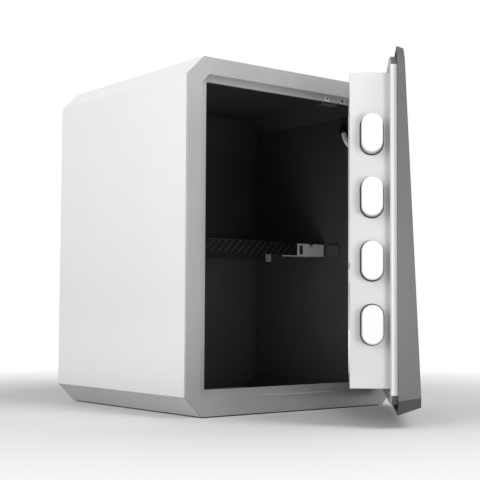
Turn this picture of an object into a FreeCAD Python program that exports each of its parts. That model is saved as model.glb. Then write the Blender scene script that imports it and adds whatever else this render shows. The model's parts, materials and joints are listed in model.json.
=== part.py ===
"""In-room safe: octagonal steel cabinet, right-hinged door standing open, motor-driven bolts, one lift-out shelf.

Frame: origin on the floor under the middle of the cabinet, +X to the right, +Y to the back, +Z up, in mm.
Door pieces are built as if the door were shut, then turned about the hinge pins by door_open.
"""

import FreeCAD
import Part
import math
import os

os.makedirs("parts", exist_ok=True)
Vector = FreeCAD.Vector

# cabinet
width = 360.0
depth = 325.0
height = 450.0
pad_height = 1.5
edge_cut = 25.0
shell_wall = 3.0
skin_gap = 0.5
liner_wall = 1.5
rear_wall = 3.0
rear_recess = 1.0
liner_back_gap = 3.5

# front frame: a rim over the shell's edge, a rebate for the door plate, a ledge that the door shuts against
rim_thick = 2.0
rebate_margin_side = 23.7
rebate_margin_end = 22.0
rebate_cut = 9.5
rebate_depth = 9.3
ledge_thick = 4.0
ledge_side = 11.3
ledge_bottom = 10.3
ledge_top = 8.0
opening_radius = 2.0

# anchoring
anchor_hole_r = 5.5
anchor_spacing_x = 200.0
anchor_spacing_y = 160.0
rear_anchor_spacing = 130.0
rear_anchor_drop = 70.0
grommet_r = 11.0
pad_inset = 4.0
mat_thick = 2.0
mat_margin = 3.0
mat_hole_r = 12.0

# hinges
hinge_in = 16.6
hinge_forward = 1.6
door_open = 47.6
knuckle_r = 5.0
knuckle_gap = 0.3
pin_r = 2.5
pin_clearance = 0.05
hinge_length = 60.0
hinge_from_end = 85.0
frame_leaf_width = 12.0
frame_leaf_thick = 2.5
door_leaf_width = 40.0
door_leaf_thick = 3.0
leaf_screw_r = 1.5

# door plate and front panel
panel_gap = 0.6
plate_thick = 6.6
flange_thick = 1.4
flange_gap = 0.4
plate_gap_free = 3.2
plate_gap_hinge = 2.3
plate_gap_end = 3.0
plate_cut = 11.0
plate_drop = 0.0
trim_thick = 1.5
panel_overhang = 10.0
panel_over_end = 11.7
panel_hinge_gap = 1.4
panel_top_thick = 8.1
panel_bottom_thick = 27.0
panel_draft = 18.0
panel_cut = 17.0
panel_wall = 3.0
boss_r = 5.0
boss_from_free = 40.0
boss_from_hinge = 70.0

# bolt box on the back of the door plate
box_inset_free = 15.1
box_inset_hinge = 14.0
box_inset_end = 17.5
box_deep = 47.4
box_wall = 2.0
cover_thick = 1.5
cover_recess = 2.3

# bolts and their drive
bolt_count = 4
bolt_from_end = 73.0
bolt_wide = 24.6
bolt_tall = 45.0
bolt_length = 58.0
bolt_throw = 21.0
bolt_from_back = 25.6
bolt_edge = 1.2
bush_wall = 1.4
bush_clearance = 0.08
bush_proud = 0.8
bush_deep = 4.0
bar_thick = 4.0
bar_wide = 16.0
rod_r = 4.0
rod_length = 58.0
rod_clearance = 0.06
rod_from_end = 37.1
block_length = 18.0
gear_module = 1.5
gear_teeth = 14
gear_wide = 8.0
gear_past_bar = 20.0
rack_teeth = 17
rack_back = 5.0
backlash = 0.35
motor_r = 11.0
motor_over_key = 29.0
shaft_foot = 10.0

# front of the door
glass_wide = 92.0
glass_tall = 150.0
glass_thick = 2.0
glass_up = 85.0
glass_from_free = 96.0
glass_radius = 8.0
glass_lip = 3.0
board_thick = 1.6
finger_r = 12.0
finger_down = 28.0
key_from_free = 96.0
key_over_rod = 40.4
key_housing_r = 11.0
key_plug_r = 6.5
key_plug_clearance = 0.05
key_behind = 22.0
cam_thick = 3.0
cam_length = 22.0
switch_gap = 2.0
key_cover_r = 18.5
key_cover_thick = 2.0
key_cover_gap = 0.3

# inside of the door
cell_r = 7.0
cell_length = 50.0
cell_count = 4
tray_wall = 1.5
tray_deep = 17.0
battery_in = 62.0
battery_down = 88.0
battery_cover_thick = 1.6
button_r = 4.0
button_travel = 2.5
button_proud = 2.0
button_gap = 0.2

# shelf
shelf_back = 144.0
shelf_under = 213.7
shelf_tall = 18.0
shelf_sheet = 1.5
shelf_side_gap = 4.0
shelf_rear_gap = 6.0
fascia_thick = 1.2
module_wide = 57.0
module_deep = 34.0
clip_wide = 5.0
clip_reach = 8.0
clip_slit = 1.5
clip_tall_rear = 20.0
clip_tall_front = 12.0
clip_rear_at = 279.5
clip_front_at = 168.0
stop_from = 112.0
stop_to = 135.0
stop_thick = 3.0
shelf_mat_thick = 1.5

# top ledge fittings, interior lamp and conduit
ledge_screw_x = 59.0
ledge_rivet_x = 74.0
ledge_sensor_x = 88.0
ledge_screw_r = 3.7
ledge_rivet_r = 2.0
ledge_sensor_r = 3.8
lamp_x = 67.0
lamp_wide = 26.0
lamp_deep = 10.0
lamp_drop = 3.5
lens_thick = 1.8
conduit_r = 4.0
conduit_drop = 79.5
conduit_box_back = 30.0
elbow_drop = 46.0
elbow_back = 99.5
elbow_in = 3.5
nose_long = 12.0
nose_grip = 6.0
ferrule_r = 6.5

# places that follow from the sizes above
front = -depth / 2
back = depth / 2
base = pad_height
middle = base + height / 2
skin = shell_wall + skin_gap + liner_wall
frame_deep = rebate_depth + ledge_thick
rebate_wide = width - 2 * rebate_margin_side
rebate_tall = height - 2 * rebate_margin_end
opening_left = -width / 2 + rebate_margin_side + ledge_side
opening_right = -opening_left
opening_low = base + rebate_margin_end + ledge_bottom
opening_high = base + height - rebate_margin_end - ledge_top
liner_end = back - rear_recess - rear_wall - liner_back_gap
floor_z = base + skin
ceiling_z = base + height - skin
wall_x = width / 2 - skin
hinge_x = width / 2 - hinge_in
hinge_y = front - hinge_forward
hinge_offset = height / 2 - hinge_from_end
plate_y = front - panel_gap
plate_left = -width / 2 + rebate_margin_side + plate_gap_free
plate_right = width / 2 - rebate_margin_side - plate_gap_hinge
plate_tall = rebate_tall - 2 * plate_gap_end
door_z = middle - plate_drop
plate_back = plate_y + plate_thick
box_left = plate_left + box_inset_free
box_right = plate_right - box_inset_hinge
box_tall = plate_tall - 2 * box_inset_end
box_back = plate_back + box_deep
bolt_y = box_back - bolt_from_back
bolt_pitch = (box_tall - 2 * bolt_from_end) / (bolt_count - 1)
rod_offset = box_tall / 2 - rod_from_end
key_down = rod_offset - key_over_rod
motor_length = key_down - gear_wide / 2 - shaft_foot - motor_over_key
panel_left = plate_left - panel_overhang
panel_right = hinge_x - knuckle_r - panel_hinge_gap
panel_tall = plate_tall + 2 * panel_over_end
panel_mid_thick = (panel_top_thick + panel_bottom_thick) / 2
panel_tilt = math.degrees(math.atan((panel_bottom_thick - panel_top_thick) / panel_tall))
front_pivot = Vector(0, plate_y - panel_mid_thick, door_z)
bolt_heights = [door_z + (i - (bolt_count - 1) / 2) * bolt_pitch for i in range(bolt_count)]


def box(x0, x1, y0, y1, z0, z1):
    return Part.makeBox(x1 - x0, y1 - y0, z1 - z0, Vector(x0, y0, z0))


def rod(r, length, start, along):
    return Part.makeCylinder(r, length, Vector(*start), Vector(*along))


def prism(points, along):
    """A straight solid on a closed polygon."""
    loop = [Vector(*p) for p in points]
    return Part.Face(Part.makePolygon(loop + loop[:1])).extrude(Vector(*along))


def octagon(xc, zc, wide, tall, cut, y):
    a, b = wide / 2, tall / 2
    corners = [(-a + cut, -b), (a - cut, -b), (a, -b + cut), (a, b - cut)]
    corners += [(a - cut, b), (-a + cut, b), (-a, b - cut), (-a, -b + cut)]
    return [(xc + x, y, zc + z) for x, z in corners]


def cut_in(cut, inset):
    """The corner cut of an octagon whose eight sides all move in by inset."""
    return cut - inset * (2 - math.sqrt(2))


def tube_core(inset, y0, y1):
    """The cabinet's octagon, moved in by inset, from y0 to y1."""
    outline = octagon(0, middle, width - 2 * inset, height - 2 * inset, cut_in(edge_cut, inset), y0)
    return prism(outline, (0, y1 - y0, 0))


def stadium(wide, tall, y, z, x0, x1):
    """A solid along X whose section is a stadium standing on end."""
    half = (tall - wide) / 2
    body = box(x0, x1, y - wide / 2, y + wide / 2, z - half, z + half)
    low = rod(wide / 2, x1 - x0, (x0, y, z - half), (1, 0, 0))
    high = rod(wide / 2, x1 - x0, (x0, y, z + half), (1, 0, 0))
    return body.fuse([low, high]).removeSplitter()


def rounded_plate(wide, tall, r, y0, y1, xc, zc):
    """A plate facing the front, with rounded corners."""
    plate = box(xc - wide / 2, xc + wide / 2, y0, y1, zc - tall / 2, zc + tall / 2)
    upright = [e for e in plate.Edges if abs(e.tangentAt(e.FirstParameter).y) > 0.9]
    return plate.makeFillet(r, upright)


def cut_all(shape, tools):
    return shape.cut(list(tools)) if tools else shape


def save(name, *solids):
    flat = [s for shape in solids for s in shape.Solids]
    shape = flat[0] if len(flat) == 1 else Part.makeCompound(flat)
    shape.exportStep("parts/%s.step" % name)


def swung(shape):
    """A door piece, turned from shut to where the door stands."""
    turned = shape.copy()
    turned.rotate(Vector(hinge_x, hinge_y, 0), Vector(0, 0, 1), door_open)
    return turned


def save_door(name, *solids):
    save(name, *[swung(s) for s in solids])


def tilted(shape):
    """A piece drawn on an upright front face, leaned back with the panel's face."""
    leaned = shape.copy()
    leaned.rotate(front_pivot, Vector(1, 0, 0), -panel_tilt)
    return leaned


def panel_thick_at(z):
    share = (door_z + panel_tall / 2 - z) / panel_tall
    return panel_top_thick + (panel_bottom_thick - panel_top_thick) * share


def flat_screw(r, x, y, z, out, shank):
    """A countersunk screw: flat cone head at y, with its shank running away from out."""
    head = Part.makeCone(2 * r, r, r, Vector(x, y, z), Vector(0, -out, 0))
    return head.fuse(rod(r, shank, (x, y - out * r, z), (0, -out, 0)))


# cabinet

base_anchors = [
    (sx * anchor_spacing_x / 2, sy * anchor_spacing_y / 2) for sx in (-1, 1) for sy in (-1, 1)
]
rear_anchors = [(s * rear_anchor_spacing / 2, base + height - rear_anchor_drop) for s in (-1, 1)]
floor_holes = [rod(anchor_hole_r, skin, (x, y, base), (0, 0, 1)) for x, y in base_anchors]
rear_span = back - liner_end + liner_wall
rear_holes = [
    rod(anchor_hole_r, rear_span + 1, (x, liner_end - liner_wall - 0.5, z), (0, 1, 0))
    for x, z in rear_anchors
]

shell = tube_core(0, front + rim_thick, back).cut(tube_core(shell_wall, front, back + 1))
save("outer_shell", cut_all(shell, floor_holes))

grommet_x = -rear_anchor_spacing / 2
grommet_z = base + rear_anchor_drop
rear_inner = back - rear_recess - rear_wall
rear = tube_core(shell_wall, rear_inner, back - rear_recess)
grommet_body = rod(grommet_r, rear_wall, (grommet_x, rear_inner, grommet_z), (0, 1, 0))
save("rear_panel", cut_all(rear, rear_holes + [grommet_body]))
grommet_lip = rod(grommet_r + 3, rear_recess, (grommet_x, back - rear_recess, grommet_z), (0, 1, 0))
grommet_dish = rod(grommet_r - 3, rear_recess + 1, (grommet_x, back - rear_recess - 1, grommet_z), (0, 1, 0))
save("rear_grommet", grommet_body.fuse(grommet_lip).cut(grommet_dish))

liner_inset = shell_wall + skin_gap
liner = tube_core(liner_inset, front + frame_deep, liner_end).cut(tube_core(skin, front, back))
save("inner_liner", cut_all(liner, floor_holes))
liner_plate = tube_core(skin, liner_end - liner_wall, liner_end)
save("liner_back", cut_all(liner_plate, rear_holes))

pad_half_x = width / 2 - edge_cut - pad_inset
pad_half_y = depth / 2 - pad_inset
pad = box(-pad_half_x, pad_half_x, -pad_half_y, pad_half_y, 0, base)
pad_holes = [rod(anchor_hole_r, base, (x, y, 0), (0, 0, 1)) for x, y in base_anchors]
save("base_pad", cut_all(pad, pad_holes))

flat_half = width / 2 - skin - cut_in(edge_cut, skin)
mat = box(
    -flat_half + mat_margin,
    flat_half - mat_margin,
    front + frame_deep + mat_margin,
    liner_end - liner_wall - mat_margin,
    floor_z,
    floor_z + mat_thick,
)
mat_holes = [rod(mat_hole_r, mat_thick, (x, y, floor_z), (0, 0, 1)) for x, y in base_anchors]
save("floor_mat", cut_all(mat, mat_holes))

# hinge pieces that stay with the frame
hinge_heights = [middle - hinge_offset, middle + hinge_offset]
third = (hinge_length - 2 * knuckle_gap) / 3
leaf_screw_rows = (-hinge_length / 2 + 9, 0, hinge_length / 2 - 9)
frame_leaves = []
frame_screws = []
hinge_pins = []
frame_pockets = []
for z in hinge_heights:
    low = z - hinge_length / 2
    leaf = box(hinge_x, hinge_x + frame_leaf_width, front, front + frame_leaf_thick, low, low + hinge_length)
    axis_low = (hinge_x, hinge_y, low)
    middle_low = low + third
    leaf = leaf.cut(
        rod(knuckle_r + 2 * knuckle_gap, third + 2 * knuckle_gap, (hinge_x, hinge_y, middle_low), (0, 0, 1))
    )
    lower = rod(knuckle_r, third, axis_low, (0, 0, 1))
    upper = rod(knuckle_r, third, (hinge_x, hinge_y, low + hinge_length - third), (0, 0, 1))
    leaf = leaf.fuse([lower, upper])
    pin = rod(pin_r, hinge_length, axis_low, (0, 0, 1))
    cap = rod(pin_r + 1, 1.5, (hinge_x, hinge_y, low + hinge_length), (0, 0, 1))
    leaf = leaf.cut(pin)
    screws = [
        flat_screw(leaf_screw_r, hinge_x + frame_leaf_width - 3.4, front, z + row, -1, 5.0)
        for row in leaf_screw_rows
    ]
    frame_screws += screws
    frame_leaves.append(leaf.cut(screws))
    hinge_pins.append(pin.fuse(cap))
    frame_pockets.append(
        box(
            hinge_x,
            hinge_x + frame_leaf_width,
            front - 1,
            front + frame_leaf_thick,
            low,
            low + hinge_length,
        )
    )
    frame_pockets.append(
        rod(knuckle_r + 2 * knuckle_gap, hinge_length, (hinge_x, hinge_y, low), (0, 0, 1))
    )
    frame_pockets.append(rod(pin_r + 1.3, 2.0, (hinge_x, hinge_y, low + hinge_length), (0, 0, 1)))
save("hinge_frame_leaves", *frame_leaves)
save("hinge_pins", *hinge_pins)
save("frame_leaf_screws", *frame_screws)

# fittings in the top ledge
ledge_y = front + rebate_depth
ledge_z = opening_high + ledge_top / 2
screw_head = rod(ledge_screw_r, 2.8, (ledge_screw_x, ledge_y - 0.8, ledge_z), (0, 1, 0))
socket = prism(
    [
        (ledge_screw_x + 2 * math.cos(a), ledge_y - 0.8, ledge_z + 2 * math.sin(a))
        for a in (math.pi / 3 * i for i in range(6))
    ],
    (0, 1.8, 0),
)
screw_shank = rod(2.0, ledge_thick - 2, (ledge_screw_x, ledge_y + 2, ledge_z), (0, 1, 0))
ledge_screw = screw_head.fuse(screw_shank)
rivet_head = rod(ledge_rivet_r, 0.7, (ledge_rivet_x, ledge_y - 0.7, ledge_z), (0, 1, 0))
rivet_shank = rod(ledge_rivet_r * 0.7, ledge_thick, (ledge_rivet_x, ledge_y, ledge_z), (0, 1, 0))
sensor_body = rod(ledge_sensor_r, ledge_thick, (ledge_sensor_x, ledge_y, ledge_z), (0, 1, 0))
sensor_dish = rod(ledge_sensor_r - 1.1, 2.0, (ledge_sensor_x, ledge_y, ledge_z), (0, 1, 0))
save("ledge_screw", ledge_screw.cut(socket))
save("ledge_rivet", rivet_head.fuse(rivet_shank))
save("door_sensor", sensor_body.cut(sensor_dish))

# front frame
frame_rim = tube_core(0, front, front + rim_thick)
frame_body = tube_core(shell_wall, front + rim_thick, front + frame_deep)
rebate = prism(
    octagon(0, middle, rebate_wide, rebate_tall, rebate_cut, front - 1), (0, rebate_depth + 1, 0)
)
doorway = rounded_plate(
    opening_right - opening_left,
    opening_high - opening_low,
    opening_radius,
    front - 1,
    front + frame_deep + 1,
    (opening_left + opening_right) / 2,
    (opening_low + opening_high) / 2,
)
frame = frame_rim.fuse(frame_body).cut(rebate).cut(doorway)
frame = cut_all(frame, frame_pockets + frame_screws + [ledge_screw, rivet_shank, sensor_body])
save("front_frame", frame.removeSplitter())

# interior lamp, hung from the ceiling behind the header
lamp_low = opening_high - lamp_drop
lamp_y0 = front + frame_deep
lamp_case = box(
    lamp_x - lamp_wide / 2,
    lamp_x + lamp_wide / 2,
    lamp_y0,
    lamp_y0 + lamp_deep,
    lamp_low + lens_thick,
    ceiling_z,
)
lamp_room = box(
    lamp_x - lamp_wide / 2 + 2,
    lamp_x + lamp_wide / 2 - 2,
    lamp_y0 + 2,
    lamp_y0 + lamp_deep - 2,
    lamp_low + lens_thick,
    ceiling_z - 6,
)
lens = box(
    lamp_x - lamp_wide / 2,
    lamp_x + lamp_wide / 2,
    lamp_y0,
    lamp_y0 + lamp_deep,
    lamp_low,
    lamp_low + lens_thick,
)
save("lamp_housing", lamp_case.cut(lamp_room))
save("lamp_lens", lens)

# shelf

shelf_z0 = base + shelf_under
shelf_z1 = shelf_z0 + shelf_tall
shelf_y0 = front + shelf_back
shelf_y1 = liner_end - liner_wall - shelf_rear_gap
shelf_x1 = wall_x - shelf_side_gap
module_x0 = wall_x - module_wide
plate_under = shelf_z1 - shelf_sheet
tray = box(-shelf_x1, shelf_x1, shelf_y0, shelf_y1, plate_under, shelf_z1)
front_fold = box(-shelf_x1, module_x0, shelf_y0, shelf_y0 + shelf_sheet, shelf_z0, plate_under)
rear_fold = box(-shelf_x1, shelf_x1, shelf_y1 - shelf_sheet, shelf_y1, shelf_z0, plate_under)
save("shelf_tray", tray.fuse([front_fold, rear_fold]).removeSplitter())
save("shelf_fascia", box(-shelf_x1, module_x0, shelf_y0 - fascia_thick, shelf_y0, shelf_z0, shelf_z1))

module_front = shelf_y0 - fascia_thick
module = box(module_x0, shelf_x1, shelf_y0, shelf_y0 + module_deep, shelf_z0, plate_under)
module_face = box(module_x0, shelf_x1, module_front, shelf_y0, shelf_z0, shelf_z1)
module = module.fuse(module_face).removeSplitter()
clip_clear = box(
    wall_x - clip_reach - 1.5,
    wall_x,
    front + clip_front_at - clip_wide / 2 - 2,
    shelf_y0 + module_deep + 1,
    shelf_z0 - 1,
    plate_under,
)
window_z = shelf_z0 + 2.0
window = box(
    module_x0 + 4.5, module_x0 + 11, module_front, module_front + 3, window_z, window_z + shelf_tall - 4.5
)
notch = rod(4.5, 4.0, (module_x0 + 28, module_front, shelf_z1), (0, 1, 0))
module = module.cut([clip_clear, window, notch.cut(box(-wall_x, wall_x, shelf_y0, back, shelf_z0, shelf_z1))])
save("shelf_module", module)
save("shelf_window", window)
save(
    "shelf_mat",
    box(
        -shelf_x1 + mat_margin,
        shelf_x1 - mat_margin,
        shelf_y0 + mat_margin,
        shelf_y1 - mat_margin,
        shelf_z1,
        shelf_z1 + shelf_mat_thick,
    ),
)

clips = []
stops = []
for side in (-1, 1):
    for at, tall in ((clip_rear_at, clip_tall_rear), (clip_front_at, clip_tall_front)):
        y0 = front + at - clip_wide / 2
        block = box(0, clip_reach, y0, y0 + clip_wide, plate_under - tall, plate_under)
        slit = box(clip_reach / 2 - clip_slit / 2, clip_reach / 2 + clip_slit / 2, y0 - 1, y0 + 2, plate_under - tall + 2, plate_under - 2)
        clip = block.cut(slit)
        if side > 0:
            clip = clip.mirror(Vector(0, 0, 0), Vector(1, 0, 0))
        clip.translate(Vector(side * wall_x, 0, 0))
        clips.append(clip)
    inner = side * (wall_x - stop_thick)
    stops.append(
        box(
            min(side * wall_x, inner),
            max(side * wall_x, inner),
            front + stop_from,
            front + stop_to,
            shelf_z0 - 1,
            shelf_z1 - 1,
        )
    )
save("shelf_clips", *clips)
save("shelf_stops", *stops)

# door, drawn shut

door_xc = (plate_left + plate_right) / 2
plate_wide = plate_right - plate_left
plate = prism(octagon(door_xc, door_z, plate_wide, plate_tall, plate_cut, plate_y), (0, plate_thick, 0))
trim_half = plate_tall / 2 - plate_cut
trim = box(plate_left, plate_left + trim_thick, plate_y, plate_back, door_z - trim_half, door_z + trim_half)
save_door("door_edge_trim", trim)

# door leaves of the hinges lie between the plate and the panel
door_leaves = []
door_screws = []
leaf_pockets = []
leaf_y0 = plate_y - door_leaf_thick
for z in hinge_heights:
    low = z - hinge_length / 2
    middle_low = low + third + knuckle_gap
    leaf = box(
        hinge_x - door_leaf_width, hinge_x - knuckle_r - 1.2, leaf_y0, plate_y, low, low + hinge_length
    )
    tongue = box(hinge_x - knuckle_r - 2, hinge_x, leaf_y0, plate_y, middle_low, middle_low + third)
    knuckle = rod(knuckle_r, third, (hinge_x, hinge_y, middle_low), (0, 0, 1))
    leaf = leaf.fuse([tongue, knuckle])
    leaf = leaf.cut(rod(pin_r + pin_clearance, hinge_length, (hinge_x, hinge_y, low), (0, 0, 1)))
    screws = [
        flat_screw(leaf_screw_r, hinge_x - door_leaf_width + 8, leaf_y0, z + row, -1, 6.0)
        for row in leaf_screw_rows
    ]
    door_screws += screws
    door_leaves.append(leaf.cut(screws))
    leaf_pockets.append(
        box(hinge_x - door_leaf_width, hinge_x, leaf_y0, plate_y, low, low + hinge_length)
    )
save_door("hinge_door_leaves", *door_leaves)
save_door("door_leaf_screws", *door_screws)


# front panel: drafted octagon whose face leans back from bottom to top
def wedge(inset, face_inset, reach):
    """The panel's outer form, moved in by inset on its sides and by face_inset on its face."""
    deep = panel_bottom_thick + 6
    shrink = deep * math.tan(math.radians(panel_draft))
    xc = (panel_left + panel_right) / 2
    wide = panel_right - panel_left - 2 * inset
    tall = panel_tall - 2 * inset
    outer_cut = cut_in(panel_cut, inset)
    near = octagon(xc, door_z, wide, tall, outer_cut, plate_y)
    far_cut = cut_in(outer_cut, shrink)
    far = octagon(xc, door_z, wide - 2 * shrink, tall - 2 * shrink, far_cut, plate_y - deep)
    rings = [Part.makePolygon([Vector(*p) for p in ring + ring[:1]]) for ring in (near, far)]
    body = Part.makeLoft(rings, True, True)
    keep = box(
        -width,
        width,
        plate_y - panel_mid_thick + face_inset,
        plate_y + reach,
        door_z - height,
        door_z + height,
    )
    return body.common(tilted(keep))


xc_glass = plate_left + glass_from_free
glass_z = door_z + glass_up
face_y = plate_y - panel_mid_thick
panel = wedge(0, 0, 60)
room = wedge(panel_wall, panel_wall, 60)
boss_rise = (box_tall / 2 + door_z - opening_low) / 2
boss_spots = [
    (x, door_z + s * boss_rise)
    for x in (panel_left + boss_from_free, panel_right - boss_from_hinge)
    for s in (-1, 1)
]
boss_spots.append((panel_right - boss_from_hinge, door_z))
bosses = [
    rod(boss_r, panel_thick_at(z), (x, plate_y, z), (0, -1, 0)).common(panel) for x, z in boss_spots
]
key_x = plate_left + key_from_free
key_z = door_z - key_down
key_front = plate_y - panel_thick_at(key_z) + 2.5
key_back = plate_back + key_behind
key_boss = rod(key_housing_r + 2.5, 60, (key_x, plate_y, key_z), (0, -1, 0)).common(panel)
panel = panel.cut(room).fuse(bosses + [key_boss])
glass = tilted(
    rounded_plate(glass_wide, glass_tall, glass_radius, face_y, face_y + glass_thick, xc_glass, glass_z)
)
glass_window = tilted(
    rounded_plate(
        glass_wide - 2 * glass_lip,
        glass_tall - 2 * glass_lip,
        glass_radius - glass_lip,
        face_y,
        face_y + panel_wall + 0.5,
        xc_glass,
        glass_z,
    )
)
board_y = face_y + panel_wall
board = tilted(
    box(
        xc_glass - glass_wide / 2,
        xc_glass + glass_wide / 2,
        board_y,
        board_y + board_thick,
        glass_z - glass_tall / 2,
        glass_z + glass_tall / 2,
    )
)
finger_z = door_z - finger_down
finger_hole = tilted(rod(finger_r, panel_wall + 2, (xc_glass, face_y, finger_z), (0, 1, 0)))
finger_inner = tilted(rod(finger_r - 2, panel_wall + 2, (xc_glass, face_y, finger_z), (0, 1, 0)))
key_hole = rod(key_housing_r, 60, (key_x, plate_y, key_z), (0, -1, 0))
key_case = rod(key_housing_r, key_back - key_front, (key_x, key_front, key_z), (0, 1, 0))
key_bore = rod(
    key_plug_r + key_plug_clearance, key_back - key_front, (key_x, key_front, key_z), (0, 1, 0)
)
panel_fix = [rod(2.0, plate_thick + 5, (x, plate_y - 5, z), (0, 1, 0)) for x, z in boss_spots]
panel_heads = [rod(4.0, 2.5, (x, plate_back, z), (0, 1, 0)) for x, z in boss_spots]
panel_screws = [a.fuse(b) for a, b in zip(panel_fix, panel_heads)]

# cover over the keyhole turns on a rivet above it, flat on the leaning face
rivet_z = key_z + key_cover_r - 4
pivot_r = 2.0
cover_out = face_y - key_cover_gap - key_cover_thick
key_cover = rod(key_cover_r, key_cover_thick, (key_x, cover_out, key_z), (0, 1, 0))
key_cover = key_cover.cut(
    rod(pivot_r + 0.08, key_cover_thick, (key_x, cover_out, rivet_z), (0, 1, 0))
)
pivot_pin = rod(
    pivot_r, key_cover_thick + key_cover_gap + 4, (key_x, cover_out, rivet_z), (0, 1, 0)
)
pivot_head = rod(pivot_r + 1.5, 1.0, (key_x, cover_out - 1.3, rivet_z), (0, 1, 0))
pivot_neck = rod(pivot_r, 0.4, (key_x, cover_out - 0.4, rivet_z), (0, 1, 0))
cover_pivot = tilted(pivot_pin.fuse([pivot_head, pivot_neck]))
pivot_seat = tilted(rod(pivot_r + 2.5, panel_wall + 3, (key_x, face_y, rivet_z), (0, 1, 0)))

panel = panel.fuse(pivot_seat).cut(
    leaf_pockets + [glass, glass_window, finger_hole, key_hole, cover_pivot] + panel_fix
)
save_door("front_panel", panel.removeSplitter())
save_door("touch_glass", glass)
save_door("display_board", board)
save_door("fingerprint_ring", finger_hole.cut(finger_inner))
save_door("fingerprint_pad", finger_inner)
save_door("panel_screws", *panel_screws)
save_door("key_cover", tilted(key_cover))
save_door("cover_pivot", cover_pivot)
save_door("key_housing", key_case.cut(key_bore))

plug = rod(key_plug_r, key_back - key_front + 3, (key_x, key_front, key_z), (0, 1, 0))
keyway = box(key_x - 0.9, key_x + 0.9, key_front - 1, key_front + 24, key_z - 4.5, key_z + 4.5)
save_door("key_plug", plug.cut(keyway))
cam_y = key_back + 3
cam = box(key_x - 4, key_x + 4, cam_y, cam_y + cam_thick, key_z - cam_length, key_z)
cam = cam.fuse(rod(key_plug_r, cam_thick, (key_x, cam_y, key_z), (0, 1, 0)))
save_door("key_cam", cam.removeSplitter())
switch_x = key_x + cam_length + switch_gap
override = box(switch_x, switch_x + 20, plate_back, key_back + 6, key_z - 5, key_z + 5)
save_door("override_switch", override)

plate = plate.cut([trim, key_hole.fuse(key_case)] + door_screws + panel_screws)
save_door("door_plate", plate)

# bolt box: four walls on the plate, closed by the inner cover
box_low = door_z - box_tall / 2
box_high = door_z + box_tall / 2
cover_out = box_back - cover_recess
cover_y = cover_out - cover_thick
walls = box(box_left, box_right, plate_back, box_back, box_low, box_high)
flange = prism(octagon(door_xc, door_z, plate_wide, plate_tall, plate_cut, plate_back), (0, flange_thick, 0))
head_room = [
    rod(4.0 + flange_gap, flange_thick + 2, (x, plate_back - 1, z), (0, 1, 0)) for x, z in boss_spots
]
walls = walls.fuse(cut_all(flange, head_room))
walls = walls.cut(
    box(
        box_left + box_wall,
        box_right - box_wall,
        plate_back - 1,
        box_back + 1,
        box_low + box_wall,
        box_high - box_wall,
    )
)
bush_x0 = box_left - bush_proud
bush_x1 = box_left + bush_deep
bushes = []
bolts = []
bolt_tip = box_left - bolt_throw
for z in bolt_heights:
    outer = stadium(bolt_wide + 2 * bush_wall, bolt_tall + 2 * bush_wall, bolt_y, z, bush_x0, bush_x1)
    slack = 2 * bush_clearance
    inner = stadium(bolt_wide + slack, bolt_tall + slack, bolt_y, z, bush_x0, bush_x1)
    walls = walls.cut(outer)
    bushes.append(outer.cut(inner))
    bolt = stadium(bolt_wide, bolt_tall, bolt_y, z, bolt_tip, bolt_tip + bolt_length)
    tip_edges = [
        e for e in bolt.Edges if all(abs(v.Point.x - bolt_tip) < 1e-6 for v in e.Vertexes)
    ]
    bolts.append(bolt.makeChamfer(bolt_edge, tip_edges))
gland_z = base + height - conduit_drop
gland_y = plate_back + conduit_box_back
gland_hole = rod(conduit_r + 1.5, box_wall, (box_right - box_wall, gland_y, gland_z), (1, 0, 0))
gland_tube = rod(conduit_r + 1.5, box_wall + 5, (box_right - box_wall, gland_y, gland_z), (1, 0, 0))
gland_nut = rod(conduit_r + 4, 3.0, (box_right, gland_y, gland_z), (1, 0, 0))
gland_bore = rod(conduit_r, box_wall + 5, (box_right - box_wall, gland_y, gland_z), (1, 0, 0))
save_door("conduit_gland", gland_tube.fuse(gland_nut).cut(gland_bore))
save_door("door_box", walls.cut(gland_hole))
save_door("bolt_bushes", *bushes)

# bar that joins the bolts, with its guide rods and rack
bar_x0 = bolt_tip + bolt_length
bar_x1 = bar_x0 + bar_thick
rod_heights = [door_z + s * rod_offset for s in (-1, 1)]
bar = box(
    bar_x0,
    bar_x1,
    bolt_y - bar_wide / 2,
    bolt_y + bar_wide / 2,
    rod_heights[0] - 10,
    rod_heights[1] + 10,
)
bolt_screws = []
for z in bolt_heights:
    shank = rod(3.0, bar_thick + 14, (bar_x0 - 14, bolt_y, z), (1, 0, 0))
    head = rod(5.0, 4.0, (bar_x1, bolt_y, z), (1, 0, 0))
    bolt_screws.append(shank.fuse(head))
bolts = [b.cut(s) for b, s in zip(bolts, bolt_screws)]
rods = [rod(rod_r, rod_length, (bar_x1, bolt_y, z), (1, 0, 0)) for z in rod_heights]
block_x0 = bar_x1 + bolt_throw + 6
blocks = []
for z in rod_heights:
    block = box(block_x0, block_x0 + block_length, plate_back, bolt_y + 9, z - 9, z + 9)
    bore = rod(rod_r + rod_clearance, block_length, (block_x0, bolt_y, z), (1, 0, 0))
    blocks.append(block.cut(bore))
save_door("guide_blocks", *blocks)

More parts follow.
